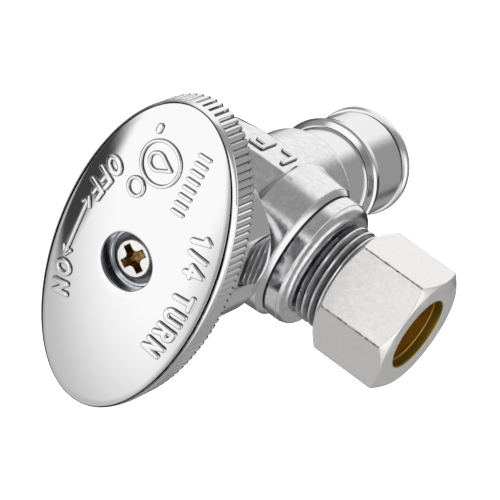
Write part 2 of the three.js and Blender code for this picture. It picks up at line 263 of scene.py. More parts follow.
# ---- materials ----
class Surface:
    """A metal, plastic or rubber built from noise in object space, in millimetres."""

    def __init__(self, name, colour, metallic, roughness):
        self.material = bpy.data.materials.new(name)
        self.material.use_nodes = True
        self.nodes = self.material.node_tree.nodes
        self.links = self.material.node_tree.links
        self.shader = self.nodes["Principled BSDF"]
        self.shader.inputs["Base Color"].default_value = (*colour, 1)
        self.shader.inputs["Metallic"].default_value = metallic
        self.shader.inputs["Roughness"].default_value = roughness
        self.coordinates = self.nodes.new("ShaderNodeTexCoord").outputs["Object"]

    def node(self, kind, **inputs):
        node = self.nodes.new(kind)
        for label, value in inputs.items():
            node.inputs[label].default_value = value
        return node

    def noise(self, size, detail=4, stretch=(1, 1, 1), roughness=0.55):
        """Noise whose features are `size` millimetres, longer by `stretch` along X, Y and Z."""
        mapping = self.node("ShaderNodeMapping", Scale=[1 / (size * MM * s) for s in stretch])
        texture = self.node("ShaderNodeTexNoise", Scale=1, Detail=detail, Roughness=roughness)
        self.links.new(self.coordinates, mapping.inputs["Vector"])
        self.links.new(mapping.outputs["Vector"], texture.inputs["Vector"])
        return texture.outputs["Fac"]

    def spread(self, value, low, high):
        """The noise, which mostly lies between 0.3 and 0.7, stretched to low..high."""
        limits = {"From Min": 0.3, "From Max": 0.7, "To Min": low, "To Max": high}
        ramp = self.node("ShaderNodeMapRange", **limits)
        self.links.new(value, ramp.inputs["Value"])
        return ramp.outputs["Result"]

    def vary_roughness(self, value, low, high):
        self.links.new(self.spread(value, low, high), self.shader.inputs["Roughness"])
        return self

    def vary_colour(self, value, low, high):
        """The base colour runs from low to high with the noise."""
        mix = self.nodes.new("ShaderNodeMix")
        mix.data_type = "RGBA"
        mix.inputs["A"].default_value = (*low, 1)
        mix.inputs["B"].default_value = (*high, 1)
        self.links.new(self.spread(value, 0, 1), mix.inputs["Factor"])
        self.links.new(mix.outputs["Result"], self.shader.inputs["Base Color"])
        return self

    def bump(self, value, depth):
        """Relief of `depth` millimetres, added to any relief the shader already has."""
        relief = self.node("ShaderNodeBump", Distance=depth * MM, Strength=1)
        self.links.new(value, relief.inputs["Height"])
        earlier = self.shader.inputs["Normal"].links
        if earlier:
            self.links.new(earlier[0].from_socket, relief.inputs["Normal"])
        self.links.new(relief.outputs["Normal"], self.shader.inputs["Normal"])
        return self


ALONG_Z_FINE = (40, 40, 1)  # turned marks round the Z axis
ALONG_Y_FINE = (40, 1, 40)  # turned marks round the Y axis


def mirror_chrome():
    """Polished plating that is still slightly wavy."""
    s = Surface("mirror_chrome", (0.9, 0.9, 0.91), 1, 0.05)
    s.vary_roughness(s.noise(6), 0.03, 0.06)
    return s.bump(s.noise(2.6, detail=2), 0.003).material


def forged_chrome():
    """Plating over the rough skin of a forging."""
    s = Surface("forged_chrome", (0.8, 0.8, 0.81), 1, 0.2)
    s.vary_roughness(s.noise(0.5), 0.08, 0.2)
    s.vary_colour(s.noise(0.7), (0.74, 0.74, 0.75), (0.9, 0.9, 0.91))
    s.bump(s.noise(0.6, detail=5, roughness=0.65), 0.014)
    return s.bump(s.noise(0.2, detail=3), 0.007).material


def turned_chrome(name, stretch, low, high, depth):
    """Plating over the fine rings that a lathe leaves, rough from low to high."""
    s = Surface(name, (0.85, 0.85, 0.86), 1, 0.12)
    s.vary_roughness(s.noise(0.35, stretch=stretch), low, high)
    s.bump(s.noise(0.22, detail=3, stretch=stretch), depth)
    return s.bump(s.noise(1.8, detail=2), 0.006).material


def shade_plating(name, low, high):
    """Grey plating, darker than the chrome, that paints the shade in grooves, on thread flanks, in hollows and
    under the handle.
    """
    s = Surface(name, low, 1, 0.42)
    s.vary_colour(s.noise(1.2), low, high)
    s.vary_roughness(s.noise(0.6), 0.32, 0.5)
    return s.bump(s.noise(0.5), 0.03).material


def crevice_shade():
    """Near-black colour that paints the shade in narrow grooves and round the foot of raised marks."""
    s = Surface("crevice_shade", (0.1, 0.1, 0.1), 1, 0.3)
    s.vary_colour(s.noise(0.8), (0.04, 0.04, 0.04), (0.2, 0.2, 0.21))
    return s.bump(s.noise(0.3), 0.01).material


def recess_wall_shade():
    """The cast wall of the screw's recess: a bluish plating, painted darker than the mirror chrome as shade in the
    recess, in patches that vary with noise.
    """
    s = Surface("recess_wall_shade", (0.7, 0.72, 0.75), 1, 0.14)
    s.vary_colour(s.noise(1.6, stretch=(1, 2, 1)), (0.6, 0.62, 0.65), (0.94, 0.96, 1.0))
    s.vary_roughness(s.noise(0.4, stretch=ALONG_Y_FINE), 0.1, 0.24)
    return s.bump(s.noise(0.25, stretch=ALONG_Y_FINE), 0.01).material


def satin_nickel():
    s = Surface("satin_nickel", (0.96, 0.95, 0.93), 1, 0.42)
    s.vary_roughness(s.noise(0.6), 0.38, 0.47)
    s.vary_colour(s.noise(0.25), (0.91, 0.9, 0.88), (0.99, 0.98, 0.96))
    return s.bump(s.noise(0.2, detail=4), 0.012).material


# A painted dark reflection: near-black to mid grey in noise, for the line along the nut's corners.
def painted_edge_reflection():
    s = Surface("painted_edge_reflection", (0.3, 0.29, 0.28), 1, 0.25)
    s.vary_colour(s.noise(0.5), (0.06, 0.06, 0.06), (0.6, 0.6, 0.6))
    return s.bump(s.noise(0.2), 0.01).material


def brass(name, light, dark, roughness, stretch):
    """Bare turned brass, from clean to tarnished."""
    s = Surface(name, light, 1, roughness)
    s.vary_colour(s.noise(1.2, stretch=stretch), dark, light)
    s.vary_roughness(s.noise(0.4, stretch=stretch), roughness - 0.06, roughness + 0.08)
    return s.bump(s.noise(0.2, stretch=stretch), 0.004).material


def plated_steel():
    s = Surface("plated_steel", (0.9, 0.88, 0.84), 1, 0.25)
    s.vary_roughness(s.noise(0.5), 0.18, 0.34)
    return s.bump(s.noise(0.35), 0.01).material


# Brownish steel in the screw's cross, painted dark as the shade inside it.
def driver_recess_shade():
    s = Surface("driver_recess_shade", (0.3, 0.17, 0.07), 1, 0.35)
    s.vary_colour(s.noise(0.45), (0.05, 0.03, 0.015), (0.5, 0.29, 0.11))
    return s.bump(s.noise(0.3), 0.08).material


def seal(name, low, high, roughness):
    s = Surface(name, high, 0, roughness)
    s.vary_colour(s.noise(1.5), low, high)
    s.vary_roughness(s.noise(0.8), roughness - 0.08, roughness + 0.08)
    return s.bump(s.noise(0.4), 0.01).material


CHROME = mirror_chrome()
FORGED = forged_chrome()
TURNED_OUTLET = turned_chrome("turned_outlet", ALONG_Z_FINE, 0.08, 0.2, 0.003)
TURNED_BARREL = turned_chrome("turned_barrel", ALONG_Y_FINE, 0.08, 0.17, 0.004)
# Painted shade: dark grey plating for the knurl's groove bottoms, the cap's underside, the hub and the screw's
# chamfer.
SHADE_PLATING = shade_plating("shade_plating", (0.16, 0.16, 0.17), (0.34, 0.34, 0.35))
# Painted shade: a lighter grey plating for the thread's roots and lower flanks.
THREAD_SHADE = shade_plating("thread_shade_plating", (0.42, 0.42, 0.43), (0.66, 0.66, 0.67))
# Painted shade: near-black for narrow grooves and the foot of raised marks.
CREVICE_SHADE = crevice_shade()
RECESS_WALL_SHADE = recess_wall_shade()
NICKEL = satin_nickel()
PAINTED_EDGE_REFLECTION = painted_edge_reflection()
FERRULE_BRASS = brass("ferrule_brass", (1.0, 0.76, 0.22), (0.88, 0.6, 0.1), 0.3, ALONG_Z_FINE)
BORE_BRASS = brass("bore_brass", (0.92, 0.7, 0.18), (0.7, 0.5, 0.09), 0.42, ALONG_Z_FINE)
DARK_BRASS = brass("dark_brass", (0.5, 0.38, 0.08), (0.3, 0.21, 0.03), 0.4, ALONG_Z_FINE)
PLAIN_BRASS = brass("plain_brass", (0.8, 0.62, 0.32), (0.66, 0.48, 0.22), 0.3, ALONG_Y_FINE)
STEEL = plated_steel()
RECESS_SHADE = driver_recess_shade()
PTFE = seal("ptfe", (0.84, 0.83, 0.79), (0.93, 0.92, 0.89), 0.5)
RUBBER = seal("rubber", (0.02, 0.02, 0.02), (0.05, 0.05, 0.05), 0.7)


# ---- raised marks ----
def arc(centre, size, start, stop, steps=10):
    """Points on an ellipse arc, angles in degrees."""
    angle = np.radians(np.linspace(start, stop, steps))
    return [(centre[0] + size[0] * math.cos(a), centre[1] + size[1] * math.sin(a)) for a in angle]


CAP = 1.07  # half of a letter's height, to the middle of its strokes
LETTERS = {
    "1": [[(-0.5, 0.62), (0.05, CAP), (0.05, -CAP)]],
    "/": [[(-0.42, -CAP), (0.42, CAP)]],
    "4": [[(0.3, -CAP), (0.3, CAP), (-0.72, -0.38), (0.78, -0.38)]],
    "T": [[(-0.8, CAP), (0.8, CAP)], [(0, CAP), (0, -CAP)]],
    "U": [[(-0.68, CAP)] + arc((0, -0.4), (0.68, 0.67), 180, 360) + [(0.68, CAP)]],
    "R": [[(-0.62, -CAP), (-0.62, CAP)] + arc((0.12, 0.55), (0.52, 0.52), 90, -90) + [(-0.62, 0.03)],
          [(0.1, 0.03), (0.66, -CAP)]],
    "N": [[(-0.68, -CAP), (-0.68, CAP), (0.68, -CAP), (0.68, CAP)]],
    "O": [arc((0, 0), (0.8, CAP), 0, 360, 28)],
    "F": [[(-0.55, -CAP), (-0.55, CAP), (0.68, CAP)], [(-0.55, 0.08), (0.48, 0.08)]],
    "L": [[(-0.55, CAP), (-0.55, -CAP), (0.68, -CAP)]],
}
MARK_EDGE = 0.26  # fillet on a mark's top edges
MARK_DEPTH = 0.15  # how far a mark reaches into the surface under it
MARK_PITCH = 0.075
MARGIN = 3 * MARK_PITCH


def relief(strokes, half_width, top):
    """Rounded raised strokes over the plane h = 0, as points (u, v, h) and faces."""
    ends = [(a, b) for line in strokes for a, b in zip(line, line[1:])]

    def field(u, v, h):
        nearest = np.inf
        for (ax, ay), (bx, by) in ends:
            dx, dy = bx - ax, by - ay
            along = np.clip(((u - ax) * dx + (v - ay) * dy) / (dx * dx + dy * dy), 0, 1)
            nearest = np.minimum(nearest, np.hypot(u - ax - along * dx, v - ay - along * dy))
        slab = np.abs(h - (top - MARK_DEPTH) / 2) - (top + MARK_DEPTH) / 2
        return fillet_cut(nearest - half_width, slab, MARK_EDGE)

    corners = np.array([p for line in strokes for p in line])
    low = [*(corners.min(0) - half_width - MARGIN), -MARK_DEPTH - MARGIN]
    high = [*(corners.max(0) + half_width + MARGIN), top + MARGIN]
    points, faces, _ = surface_net(field, low, high, MARK_PITCH)
    return points, faces


def place(points, centre, turn):
    """Relief points turned and moved in their plane."""
    c, s = math.cos(turn), math.sin(turn)
    u, v, h = points.T
    return np.stack([centre[0] + c * u - s * v, centre[1] + s * u + c * v, h], -1)


# ---- handle ----
RIM = handle_high[[0, 2]] - 0.02  # half length and half width of the rim
DOME = RIM - [0.2, 0.62]  # half sizes at the dome's edge
DOME_TOP = handle_low[1]
DOME_RISE = 1.9
DOME_EDGE = DOME_TOP + DOME_RISE
RIM_BACK = DOME_EDGE + 4.7
SCREW_HOLE = 1.9  # radius of the hole in the recess floor
FLOOR_BOSS = 4.6  # radius of the boss under the recess floor
FLOOR_THICKNESS = 0.6
RECESS_RADIUS = 3.75
RECESS_FLOOR = DOME_TOP + 4.5
RECESS_LEDGE = DOME_TOP + 2.5  # a step in the recess wall, level with the screw's head
LEDGE_RADIUS = 3.35
RIM_GROOVE = (-0.08, 0.38)  # the groove round the dome, as parts of the rim face's width
CEILING = DOME_TOP + 3.7  # underside of the cap
SKIRT_RADIUS = 11.05
SKIRT_BORE = 9.6
SKIRT_END = handle_high[1]
HUB_RADIUS = 5.2
HUB_END = -17.6
SOCKET_HALF = 2.5
SOCKET_TOP = RECESS_FLOOR + 1.3
STOP_ANGLES = (-13.8, 103.8)  # the two stop lugs inside the skirt, from +X towards +Z
LUG_RADIUS = 8.95  # distance of a lug's middle from the axis
LUG_HALF = (0.95, 0.9, 6.2)  # half sizes of a lug: radial, across and along the axis
LUG_MIDDLE = SKIRT_END - 6.6
HUB_PITCH = 0.2
RIBS = 112
RIB_DEPTH = 0.27
RIB_STATIONS = (0.0, 0.22, 0.3, 0.42, 0.5, 0.58, 0.7, 0.78)  # shares of a rib and its groove
RIB_DEPTHS = (0.0, 0.0, 0.12, 0.85, 1.0, 0.85, 0.12, 0.0)  # shares of RIB_DEPTH at those
KNURL_START = 1.2  # first nearly full and last section of the grooves, mm behind DOME_EDGE
KNURL_LAST = 4.3

# The rim's face from the dome outwards: (share of the way to the rim, mm behind DOME_EDGE).
RIM_FACE = (
    (-0.06, 0.16), (-0.03, 0.32), (0.03, 0.4), (0.22, 0.4), (0.3, 0.32), (0.35, 0.16),
    (RIM_GROOVE[1], 0.07), (0.46, 0.05), (0.62, 0.1), (0.76, 0.26), (0.88, 0.5), (0.96, 0.74),
    (0.9, 0.8), (0.92, 0.86), (1.0, 0.9),
)
# The knurl: (mm behind DOME_EDGE, share of the full groove).
KNURL = ((1.08, 0), (1.12, 0.55), (KNURL_START, 0.9), (1.34, 1), (2.5, 1), (3.6, 1), (KNURL_LAST, 1))
# The rim's back and the inside of the cap: (mm inside RIM, station).
CAP_BACK = (
    (0.5, RIM_BACK), (1.7, RIM_BACK), (1.85, RIM_BACK - 0.12), (1.9, RIM_BACK - 0.4),
    (2.05, CEILING + 0.5), (2.2, CEILING + 0.15), (2.6, CEILING),
)
# Roundings at the recess's mouth and the dome's edge: (mm out or in, mm below the dome).
MOUTH = ((0.01, 0.16), (0.05, 0.06), (0.12, 0.015), (0.22, 0))
DOME_LIP = ((0.03, 0.008), (0.01, 0.025), (0, 0.06))


def dome_station(x, z):
    return DOME_TOP + DOME_RISE * ((x / DOME[0]) ** 2 + (z / DOME[1]) ** 2)


def on_rim(share):
    """Half sizes of the oval at a part of the way from the dome's edge to the rim."""
    return DOME + (RIM - DOME) * share


def rim_angles():
    """Ellipse angles that space the ribs evenly round the rim, with each rib's stations."""
    fine = np.linspace(0, TURN, 7201)
    x, z = RIM[0] * np.cos(fine), RIM[1] * np.sin(fine)
    length = np.concatenate([[0], np.cumsum(np.hypot(np.diff(x), np.diff(z)))])
    stations = (np.arange(RIBS)[:, None] + np.array(RIB_STATIONS)).ravel() / RIBS
    return np.interp(stations * length[-1], length, fine)


def handle_cap():
    """The oval cap, from the screw hole over the dome and the knurled rim to the inside."""
    angle = rim_angles()
    grooves = np.tile(RIB_DEPTHS, RIBS) * RIB_DEPTH
    spoke = np.arctan2(RIM[1] * np.sin(angle), RIM[0] * np.cos(angle))
    outward = np.stack([np.cos(angle) / RIM[0], np.sin(angle) / RIM[1]])
    outward /= np.linalg.norm(outward, axis=0)

    def oval(size, station, groove=0.0):
        x = size[0] * np.cos(angle) - outward[0] * grooves * groove
        z = size[1] * np.sin(angle) - outward[1] * grooves * groove
        return np.stack([x, np.full_like(x, station), z], -1)

    def circle(radius, station):
        return polar(radius, spoke, station, "y")

    def on_dome(row, sink=0.0):
        row[:, 1] = dome_station(row[:, 0], row[:, 2]) + sink
        return row

    rows = [circle(SCREW_HOLE, RECESS_FLOOR), circle(LEDGE_RADIUS - 0.1, RECESS_FLOOR),
            circle(LEDGE_RADIUS, RECESS_FLOOR - 0.1), circle(LEDGE_RADIUS, RECESS_LEDGE + 0.05),
            circle(LEDGE_RADIUS + 0.05, RECESS_LEDGE), circle(RECESS_RADIUS - 0.08, RECESS_LEDGE),
            circle(RECESS_RADIUS, RECESS_LEDGE - 0.08), circle(RECESS_RADIUS, DOME_TOP + 0.45)]
    rows += [on_dome(circle(RECESS_RADIUS + out, 0), sink) for out, sink in MOUTH]
    dome_end = on_rim(RIM_GROOVE[0])
    inner = circle(RECESS_RADIUS + MOUTH[-1][0], 0)
    outer = oval(dome_end - 2 * DOME_LIP[0][0], 0)
    rows += [on_dome(inner + (outer - inner) * t) for t in np.linspace(0, 1, 18)[1:]]
    rows += [on_dome(oval(dome_end - inset, 0), sink) for inset, sink in DOME_LIP]
    rows += [oval(on_rim(share), DOME_EDGE + back) for share, back in RIM_FACE]
    rows += [oval(RIM, DOME_EDGE + back, groove) for back, groove in KNURL]
    rows.append(oval(RIM, RIM_BACK, 1))
    rows += [oval(RIM - inset, station) for inset, station in CAP_BACK]
    rows += [circle(FLOOR_BOSS, CEILING), circle(FLOOR_BOSS, RECESS_FLOOR + FLOOR_THICKNESS),
             circle(SCREW_HOLE, RECESS_FLOOR + FLOOR_THICKNESS)]
    points = np.concatenate(rows)
    return points, ring_faces(len(rows), len(angle), closed=True)


def in_rim_groove(x, y, z):
    inner, outer = (on_rim(share) for share in RIM_GROOVE)
    outside_dome = np.hypot(x / inner[0], z / inner[1]) > 0.9995
    inside_bevel = np.hypot(x / outer[0], z / outer[1]) < 1
    return outside_dome & inside_bevel & (y > DOME_EDGE + 0.06) & (y < RIM_BACK - 1)


def in_rib_bottom(x, y, z):
    """The bottoms of the rim's grooves, and their whole width at the open back ends."""
    share = np.hypot(x / RIM[0], z / RIM[1])
    depth = (1 - share) * share / np.hypot(x / RIM[0] ** 2, z / RIM[1] ** 2)
    deep_enough = depth > np.where(y > DOME_EDGE + KNURL_LAST, 0.02, 0.8) * RIB_DEPTH
    across_rim = (y > DOME_EDGE + KNURL_START) & (y < RIM_BACK - 0.01)
    return across_rim & deep_enough & (depth < 1.1 * RIB_DEPTH)


def in_screw_recess(x, y, z):
    return (np.hypot(x, z) < RECESS_RADIUS + 0.02) & (y > DOME_TOP + 0.5) & (y < RECESS_FLOOR + 0.1)


def under_handle(x, y, z):
    return (y > RIM_BACK - 0.05) | ((y > CEILING - 0.6) & (np.hypot(x / RIM[0], z / RIM[1]) < 0.93))


cap = add_piece("handle_cap", handle_cap(), "turning_parts", CHROME,
                replaces=["handle"])
# Painted shade: the groove round the dome is near-black.
finish_faces(cap, CREVICE_SHADE, in_rim_groove)
# Painted shade: the knurl's groove bottoms and the cap's underside get the dark grey plating.
finish_faces(cap, SHADE_PLATING, in_rib_bottom)
finish_faces(cap, SHADE_PLATING, under_handle)
# Painted shade: the screw recess's wall is a darker bluish plating.
finish_faces(cap, RECESS_WALL_SHADE, in_screw_recess)

skirt_profile = rounded([
    (SKIRT_BORE, CEILING - 0.2), (SKIRT_RADIUS, CEILING - 0.2), (SKIRT_RADIUS, SKIRT_END, 0.25),
    (SKIRT_BORE, SKIRT_END, 0.25),
])
add_piece("handle_skirt", lathe(skirt_profile, "y"), "turning_parts", CHROME)


def hub_field(x, y, z):
    """The hub with its square socket and screw hole, and the two stop lugs."""
    shape = fillet_cut(np.hypot(x, z) - HUB_RADIUS, y - HUB_END, 0.5)
    shape = fillet_cut(shape, CEILING - 0.3 - y, 0.1)
    socket = fillet_cut(np.abs(x) - SOCKET_HALF, np.abs(z) - SOCKET_HALF, 0.2)
    socket = np.maximum(socket, SOCKET_TOP - y)
    hole = np.maximum(np.hypot(x, z) - SCREW_HOLE, y - SOCKET_TOP - 0.7)
    shape = np.maximum(shape, -np.minimum(socket, hole))
    for degrees in STOP_ANGLES:
        c, s = math.cos(math.radians(degrees)), math.sin(math.radians(degrees))
        out, side = x * c + z * s, z * c - x * s
        lug = fillet_cut(np.abs(out - LUG_RADIUS) - LUG_HALF[0], np.abs(side) - LUG_HALF[1], 0.3)
        lug = fillet_cut(lug, np.abs(y - LUG_MIDDLE) - LUG_HALF[2], 0.3)
        shape = np.minimum(shape, lug)
    return shape


hub = surface_net(hub_field, [-6, CEILING - 1, -6], [11, SKIRT_END + 1, 11], HUB_PITCH)
# Painted shade: the hub inside the skirt is all dark grey plating.
add_piece("handle_hub", hub, "turning_parts", SHADE_PLATING)

TOP_TEXT = 8.65  # z of the middle of each line of text, and the radius of its bow
TOP_ARC_RADIUS = 32.0
BOTTOM_TEXT = -8.7
BOTTOM_ARC_RADIUS = 28.0
STROKE = 0.4
FINE_STROKE = 0.25
MARK_HEIGHT = 0.34
MARK_SHADOW_ROOT = 0.17  # height of the painted shadow outline round a mark


def handle_marks():
    """The dome's marks: (strokes, half width of a stroke, (x, z), radians turned)."""
    marks = []
    for letter, x in zip("1/4TURN", (-8.0, -6.0, -3.95, 0.2, 2.85, 5.5, 8.15)):
        sag = x * x / (2 * TOP_ARC_RADIUS)
        marks.append((LETTERS[letter], STROKE, (x, TOP_TEXT - sag), -x / TOP_ARC_RADIUS))
    for letter, x in zip("OFFON", (-9.6, -7.35, -5.3, 6.6, 9.2)):
        sag = x * x / (2 * BOTTOM_ARC_RADIUS)
        marks.append((LETTERS[letter], STROKE, (x, BOTTOM_TEXT + sag), x / BOTTOM_ARC_RADIUS))
    arrow = [[(-4.4, 0), (4.4, 0)], [(-3.4, 0.6), (-4.4, 0), (-3.4, -0.6)],
             [(3.4, 0.6), (4.4, 0), (3.4, -0.6)]]
    marks.append((arrow, 0.27, (0.6, -8.45), 0))
    ring = arc((0, 0), (2.8, 2.8), 0, 360, 40)
    drop = [(0, 1.7)] + arc((0, -0.5), (1.1, 1.1), 150, 390, 20) + [(0, 1.7)]
    marks.append(([ring, drop], FINE_STROKE, (-13.7, -1.4), 0))
    marks.append(([arc((0, 0), (1.15, 1.15), 0, 360, 24)], FINE_STROKE, (-9.3, -3.0), 0))
    marks.append(([[(-0.3, 0), (0.3, 0)]], 0.42, (-17.3, -3.6), 0))
    for i in range(8):
        marks.append(([[(0, -0.72), (0, 0.72)]], 0.27, (-17.6 + 1.13 * i, 3.4), 0))
    return marks


letter_shells = []
for strokes, half_width, centre, turn in handle_marks():
    flat, faces = relief(strokes, half_width, MARK_HEIGHT)
    x, z, height = place(flat, centre, turn).T
    slope = np.stack([-2 * DOME_RISE * x / DOME[0] ** 2, np.ones_like(x),
                      -2 * DOME_RISE * z / DOME[1] ** 2], -1)
    slope /= np.linalg.norm(slope, axis=1)[:, None]
    foot = np.stack([x, dome_station(x, z), z], -1)
    letter_shells.append((foot - slope * height[:, None], faces))
lettering = add_piece("handle_lettering", join_shells(*letter_shells), "turning_parts",
                      CHROME, sharp=80)
# Painted shadow: a near-black outline round the foot of each mark on the dome.
finish_faces(lettering, CREVICE_SHADE, lambda x, y, z: dome_station(x, z) - y < MARK_SHADOW_ROOT)


# ---- handle screw ----
SCREW_RADIUS = screw_high[0]
SCREW_TOP = screw_low[1]
SCREW_HEAD = 1.6
SCREW_CROWN = 0.012  # drop of the face at 1 mm from its middle
SHANK_RADIUS = 1.4
FACE_RADIUS = 2.36  # face of the head, inside its chamfer
CHAMFER = 0.8
CROSS_TURN = math.radians(56)
CROSS_ARM = (1.9, 0.55)  # reach of a slot at the face, and how much it loses per mm of depth
CROSS_HALF = (0.52, 0.1)
CROSS_DEPTH = 1.3


def cross_field(x, y, z):
    """The driver recess: two tapering slots with a wide fillet, open at the head's face."""
    depth = y - SCREW_TOP
    u = x * math.cos(CROSS_TURN) + z * math.sin(CROSS_TURN)
    v = z * math.cos(CROSS_TURN) - x * math.sin(CROSS_TURN)
    arm = CROSS_ARM[0] - CROSS_ARM[1] * depth
    half = CROSS_HALF[0] - CROSS_HALF[1] * depth
    first = np.maximum(np.abs(u) - arm, np.abs(v) - half)
    second = np.maximum(np.abs(v) - arm, np.abs(u) - half)
    slots = fillet_union(first, second, 0.8)
    return np.maximum(slots, depth - CROSS_DEPTH)


def screw_field(x, y, z):
    radius = np.hypot(x, z)
    head = fillet_cut(radius - SCREW_RADIUS, SCREW_TOP - y + SCREW_CROWN * radius ** 2, 0.3)
    head = fillet_cut(head, radius - FACE_RADIUS + CHAMFER * (SCREW_TOP - y), 0.15)
    head = fillet_cut(head, y - SCREW_TOP - SCREW_HEAD, 0.1)
    shank = fillet_cut(radius - SHANK_RADIUS, y - screw_high[1], 0.4)
    shank = np.maximum(shank, SCREW_TOP + 1 - y)
    return fillet_cut(np.minimum(head, shank), -cross_field(x, y, z), 0.1)


def in_cross(x, y, z):
    depth = y - SCREW_TOP
    return (cross_field(x, y, z) < 0.03) & (depth > 0.08) & (depth < CROSS_DEPTH + 0.2)


screw = add_piece(
    "handle_screw_visual", surface_net(screw_field, screw_low - 0.4, screw_high + 0.4, 0.1),
    "turning_parts", STEEL, replaces=["handle_screw"])
# Painted shade: the cross recess is dark brown.
finish_faces(screw, RECESS_SHADE, in_cross)
# Painted shade: the screw head's chamfer and side, down in the recess, get the dark grey plating.
finish_faces(screw, SHADE_PLATING, lambda x, y, z: np.hypot(x, z) > FACE_RADIUS - 0.03)


# ---- forged body ----
FLAT = 9.6
FLAT_HALF_WIDTH = 3.1
DIAGONAL = (FLAT + FLAT_HALF_WIDTH) / math.sqrt(2)
FLATS_END = 4.3
BOTTOM_TAPER = (0.0386, 1.48)  # factor and power of the depth by which the body narrows
TOWER_RADIUS = body_high[0]
TOWER_CUT = 9.82  # where the forging ends and the turned nose begins
TOWER_DRAFT = 0.065
BOSS_RADIUS = 8.3
BOSS_END = body_high[1]
NECK_RADIUS = 5.1
POST_RADIUS = 1.0  # the cast post between the stop lugs
POST_OFFSET = 8.4
OUTLET_BORE = 3.4
# Bores round the stem axis: (radius, start, stop), and round the outlet axis from 0: (radius, stop).
STEM_BORES = (
    (6.75, -7.6, BOSS_END + 1), (4.3, -9.6, -7.5), (3.2, -11, -9.5), (4.1, body_low[1] - 1, -10.8),
    (7.3, BOSS_END - 0.3, BOSS_END + 1),
)
OUTLET_BORES = ((4.9, 9.2), (OUTLET_BORE, TOWER_CUT + 1))
FORGING_PITCH = 0.18


def rod(across, radius, along, start, stop, fillet):
    """A cylinder, from the distances across and along its axis."""
    shape = fillet_cut(across - radius, along - stop, fillet)
    return fillet_cut(shape, start - along, fillet)


def cavity_field(x, y, z):
    stem_side = np.hypot(x, z)
    outlet_side = np.hypot(x, y)
    cavity = np.inf
    for radius, start, stop in STEM_BORES:
        cavity = np.minimum(cavity, rod(stem_side, radius, y, start, stop, 0.1))
    for radius, stop in OUTLET_BORES:
        cavity = np.minimum(cavity, rod(outlet_side, radius, z, 0, stop, 0.1))
    return cavity


def forging_field(x, y, z):
    """The body's flats, tower, inlet boss, stem neck and stop post, less the bores."""
    stem_side = np.hypot(x, z)
    outlet_side = np.hypot(x, y)
    flats = fillet_cut(np.abs(x) - FLAT, np.abs(y) - FLAT, 0.3)
    diagonals = (np.abs(x) + np.abs(y)) / math.sqrt(2) - DIAGONAL
    flats = fillet_cut(flats, diagonals, 0.3)
    widest = TOWER_RADIUS - BOTTOM_TAPER[0] * np.maximum(-z, 0) ** BOTTOM_TAPER[1]
    flats = fillet_cut(flats, outlet_side - widest, 0.35)
    flats = fillet_cut(flats, body_low[2] - z, 1.8)
    flats = fillet_cut(flats, z - FLATS_END - 1, 0.3)
    wall = outlet_side - TOWER_RADIUS + TOWER_DRAFT * np.maximum(z - FLATS_END, 0)
    shoulder = (outlet_side - TOWER_RADIUS + FLATS_END - z) / math.sqrt(2)
    tower = fillet_cut(wall, shoulder, 0.2)
    tower = fillet_cut(tower, z - TOWER_CUT, 0.12)
    boss = rod(stem_side, BOSS_RADIUS, y, 0, BOSS_END, 1.3)
    neck = rod(stem_side, NECK_RADIUS, y, body_low[1], 0, 0.4)
    post = rod(np.hypot(x, z - POST_OFFSET), POST_RADIUS, y, -13.6, -8, 0.4)
    solid = fillet_union(flats, tower, 0.25)
    solid = fillet_union(solid, boss, 1.0)
    solid = fillet_union(fillet_union(solid, neck, 0.6), post, 0.5)
    return fillet_cut(solid, -cavity_field(x, y, z), 0.1)


forging_shell = surface_net(forging_field, [-10.7, body_low[1] - 0.6, body_low[2] - 0.6],
                            [10.7, BOSS_END + 0.6, TOWER_CUT + 0.6], FORGING_PITCH)
forging = add_piece("body_forging", forging_shell, "valve", FORGED,
                    replaces=["valve_body"])
finish_faces(forging, BORE_BRASS,
             lambda x, y, z: (cavity_field(x, y, z) < 0.05) & (y < BOSS_END - 0.4))

LARGE_LETTER = 1.42  # size of the body's letters against the handle's
LARGE_STROKE = 0.38
flat_shells = []
for letter, middle_y, middle_z in (("L", -0.2, 1.75), ("F", -0.1, -1.75)):
    strokes = [[(u * LARGE_LETTER, v * LARGE_LETTER) for u, v in line] for line in LETTERS[letter]]
    points, faces = relief(strokes, LARGE_STROKE, MARK_HEIGHT)
    u, v, height = points.T
    flat_shells.append((np.stack([-FLAT - height, middle_y - v, middle_z - u], -1), faces))
letters = add_piece("body_letters", join_shells(*flat_shells), "valve", FORGED,
                    sharp=80)
# Painted shadow: a near-black outline round the foot of each body letter.
finish_faces(letters, CREVICE_SHADE, lambda x, y, z: -FLAT - x < MARK_SHADOW_ROOT)

# ---- turned and threaded outlet nose ----
THREAD_PITCH = TURN * next(c["ratio"] for c in frame["record"]["behaviour"]["couplings"]) / MM
NOSE_END = body_high[2]
NOSE_RADIUS = 7.14
THREAD_DEPTH = 0.6
THREAD_ROOT = NOSE_RADIUS - THREAD_DEPTH
THREAD_START = 13.8
RUN_IN = 1.2  # slope at which the thread rises after the shoulder
TUBE_SOCKET = 4.9
TUBE_STOP = 13.5
JOINT = (5.2, 9.5)  # radius and station where the nose meets the forging, inside
COLLAR_RADIUS = 9.1
COLLAR_START = 10.8
COLLAR_END = 12.5
SHOULDER_RADIUS = 7.9  # where the round shoulder after the collar ends
SHOULDER_SIZE = (1.1, 1.2)  # radial and axial size of the quarter round
GROOVE_RADIUS = 8.75
GROOVE_START = 10.5
RING_RADIUS = 9.66  # the chamfered ring at the end of the forging
THREAD_SHAPE = ((0.0, 0.0), (0.1, 0.0), (0.2, 0.08), (0.44, 0.92), (0.52, 1.0), (0.66, 1.0),
                (0.74, 0.92), (0.98, 0.08))  # (share of the pitch, share of the depth)
SEGMENTS = 144


